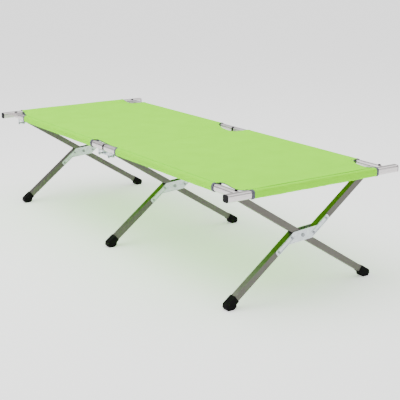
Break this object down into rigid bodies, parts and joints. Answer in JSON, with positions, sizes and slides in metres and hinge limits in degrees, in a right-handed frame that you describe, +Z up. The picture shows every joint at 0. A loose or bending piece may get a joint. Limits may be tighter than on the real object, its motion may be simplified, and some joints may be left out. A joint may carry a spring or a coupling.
{
  "type": "folding cot",
  "caption": "Folding camp cot: hinged aluminium side rails on scissor leg frames, with end bars and a stretched lime green cloth cover.",
  "frame": {"origin": "centre of the footprint at floor level, with the cot set up", "axes": "+X towards the foot end, along the cot; +Y towards the far side rail; +Z up"},
  "size_m": [1.8922, 0.774, 0.4465],
  "materials": {
    "cover_cloth": "matte",
    "rail_aluminium": "satin",
    "leg_aluminium": "satin",
    "plated_steel": "satin",
    "rivet_steel": "satin",
    "black_plastic": "matte",
    "foot_rubber": "matte"
  },
  "bodies": {
    "near_head_side": {"near_head_rail": "rail_aluminium", "near_head_saddles": "plated_steel", "near_head_hinge_pins": "rivet_steel", "near_head_plugs": "black_plastic", "cover": "cover_cloth"},
    "near_foot_side": {"near_foot_rail": "rail_aluminium", "near_foot_saddles": "plated_steel", "near_foot_hinge_pins": "rivet_steel", "near_foot_plugs": "black_plastic"},
    "far_head_side": {"far_head_rail": "rail_aluminium", "far_head_saddles": "plated_steel", "far_head_hinge_pins": "rivet_steel", "far_head_plugs": "black_plastic"},
    "far_foot_side": {"far_foot_rail": "rail_aluminium", "far_foot_saddles": "plated_steel", "far_foot_hinge_pins": "rivet_steel", "far_foot_plugs": "black_plastic"},
    "near_centre_bracket": {"near_centre_bracket": "plated_steel"},
    "far_centre_bracket": {"far_centre_bracket": "plated_steel"},
    "near_head_yoke": {"near_head_yoke": "plated_steel"},
    "near_foot_yoke": {"near_foot_yoke": "plated_steel"},
    "far_head_yoke": {"far_head_yoke": "plated_steel"},
    "far_foot_yoke": {"far_foot_yoke": "plated_steel"},
    "head_long_leg": {"head_long_leg": "leg_aluminium", "head_long_leg_pins": "rivet_steel", "head_far_foot": "foot_rubber"},
    "head_short_leg": {"head_upper_tube": "leg_aluminium", "head_lower_tube": "leg_aluminium", "head_inner_plate": "plated_steel", "head_outer_plate": "plated_steel", "head_short_leg_rivets": "rivet_steel", "head_tube_plugs": "black_plastic", "head_near_foot": "foot_rubber"},
    "middle_long_leg": {"middle_long_leg": "leg_aluminium", "middle_long_leg_pins": "rivet_steel", "middle_far_foot": "foot_rubber"},
    "middle_short_leg": {"middle_upper_tube": "leg_aluminium", "middle_lower_tube": "leg_aluminium", "middle_inner_plate": "plated_steel", "middle_outer_plate": "plated_steel", "middle_short_leg_rivets": "rivet_steel", "middle_tube_plugs": "black_plastic", "middle_near_foot": "foot_rubber"},
    "foot_long_leg": {"foot_long_leg": "leg_aluminium", "foot_long_leg_pins": "rivet_steel", "foot_far_foot": "foot_rubber"},
    "foot_short_leg": {"foot_upper_tube": "leg_aluminium", "foot_lower_tube": "leg_aluminium", "foot_inner_plate": "plated_steel", "foot_outer_plate": "plated_steel", "foot_short_leg_rivets": "rivet_steel", "foot_tube_plugs": "black_plastic", "foot_near_foot": "foot_rubber"},
    "head_bar": {"head_end_bar": "rail_aluminium", "head_bar_caps": "black_plastic"},
    "foot_bar": {"foot_end_bar": "rail_aluminium", "foot_bar_caps": "black_plastic"}
  },
  "joints": [
    {"name": "rail_fold", "type": "hinge", "parent": "near_head_side", "child": "near_centre_bracket", "pos_m": [-0.04, -0.326, 0.3985], "axis": [0, 1, 0], "range_deg": [0, 90]},
    {"name": "near_foot_side_fold", "type": "hinge", "parent": "near_centre_bracket", "child": "near_foot_side", "pos_m": [0.04, -0.326, 0.3985], "axis": [0, 1, 0], "range_deg": [0, 90]},
    {"name": "middle_long_leg_swing", "type": "hinge", "parent": "near_centre_bracket", "child": "middle_long_leg", "pos_m": [0, -0.298, 0.412], "axis": [1, 0, 0], "range_deg": [-53.5, 0]},
    {"name": "scissor_close", "type": "hinge", "parent": "middle_long_leg", "child": "middle_short_leg", "pos_m": [0, 0, 0.22197], "axis": [1, 0, 0], "range_deg": [0, 107], "deforming": ["cover"]},
    {"name": "far_bracket_swing", "type": "hinge", "parent": "middle_short_leg", "child": "far_centre_bracket", "pos_m": [0, 0.298, 0.412], "axis": [1, 0, 0], "range_deg": [-53.5, 0]},
    {"name": "far_foot_side_fold", "type": "hinge", "parent": "far_centre_bracket", "child": "far_foot_side", "pos_m": [0.04, 0.326, 0.3985], "axis": [0, 1, 0], "range_deg": [0, 90]},
    {"name": "far_head_side_fold", "type": "hinge", "parent": "far_centre_bracket", "child": "far_head_side", "pos_m": [-0.04, 0.326, 0.3985], "axis": [0, 1, 0], "range_deg": [-90, 0]},
    {"name": "head_yoke_fold", "type": "hinge", "parent": "near_head_side", "child": "near_head_yoke", "pos_m": [-0.856, -0.326, 0.3985], "axis": [0, 1, 0], "range_deg": [-90, 0]},
    {"name": "head_long_leg_swing", "type": "hinge", "parent": "near_head_yoke", "child": "head_long_leg", "pos_m": [-0.856, -0.298, 0.412], "axis": [1, 0, 0], "range_deg": [-53.5, 0]},
    {"name": "head_scissor", "type": "hinge", "parent": "head_long_leg", "child": "head_short_leg", "pos_m": [-0.856, 0, 0.22197], "axis": [1, 0, 0], "range_deg": [0, 107]},
    {"name": "far_head_yoke_swing", "type": "hinge", "parent": "head_short_leg", "child": "far_head_yoke", "pos_m": [-0.856, 0.298, 0.412], "axis": [1, 0, 0], "range_deg": [-53.5, 0]},
    {"name": "foot_yoke_fold", "type": "hinge", "parent": "near_foot_side", "child": "near_foot_yoke", "pos_m": [0.856, -0.326, 0.3985], "axis": [0, 1, 0], "range_deg": [0, 90]},
    {"name": "foot_long_leg_swing", "type": "hinge", "parent": "near_foot_yoke", "child": "foot_long_leg", "pos_m": [0.856, -0.298, 0.412], "axis": [1, 0, 0], "range_deg": [-53.5, 0]},
    {"name": "foot_scissor", "type": "hinge", "parent": "foot_long_leg", "child": "foot_short_leg", "pos_m": [0.856, 0, 0.22197], "axis": [1, 0, 0], "range_deg": [0, 107]},
    {"name": "far_foot_yoke_swing", "type": "hinge", "parent": "foot_short_leg", "child": "far_foot_yoke", "pos_m": [0.856, 0.298, 0.412], "axis": [1, 0, 0], "range_deg": [-53.5, 0]},
    {"name": "head_bar_pull", "type": "slide", "parent": "near_head_side", "child": "head_bar", "axis": [-1, 0, 0], "range_m": [0, 0.146]},
    {"name": "foot_bar_pull", "type": "slide", "parent": "near_foot_side", "child": "foot_bar", "axis": [1, 0, 0], "range_m": [0, 0.146]}
  ],
  "couplings": [
    {"joint": "near_foot_side_fold", "follows": "rail_fold", "ratio": 1},
    {"joint": "middle_long_leg_swing", "follows": "scissor_close", "ratio": -0.5},
    {"joint": "far_bracket_swing", "follows": "scissor_close", "ratio": -0.5},
    {"joint": "far_foot_side_fold", "follows": "rail_fold", "ratio": 1},
    {"joint": "far_head_side_fold", "follows": "rail_fold", "ratio": -1},
    {"joint": "head_yoke_fold", "follows": "rail_fold", "ratio": -1},
    {"joint": "head_long_leg_swing", "follows": "scissor_close", "ratio": -0.5},
    {"joint": "head_scissor", "follows": "scissor_close", "ratio": 1},
    {"joint": "far_head_yoke_swing", "follows": "scissor_close", "ratio": -0.5},
    {"joint": "foot_yoke_fold", "follows": "rail_fold", "ratio": 1},
    {"joint": "foot_long_leg_swing", "follows": "scissor_close", "ratio": -0.5},
    {"joint": "foot_scissor", "follows": "scissor_close", "ratio": 1},
    {"joint": "far_foot_yoke_swing", "follows": "scissor_close", "ratio": -0.5},
    {"joint": "head_bar_pull", "follows": "scissor_close", "m_per_rad": 0.078},
    {"joint": "foot_bar_pull", "follows": "scissor_close", "m_per_rad": 0.078}
  ]
}
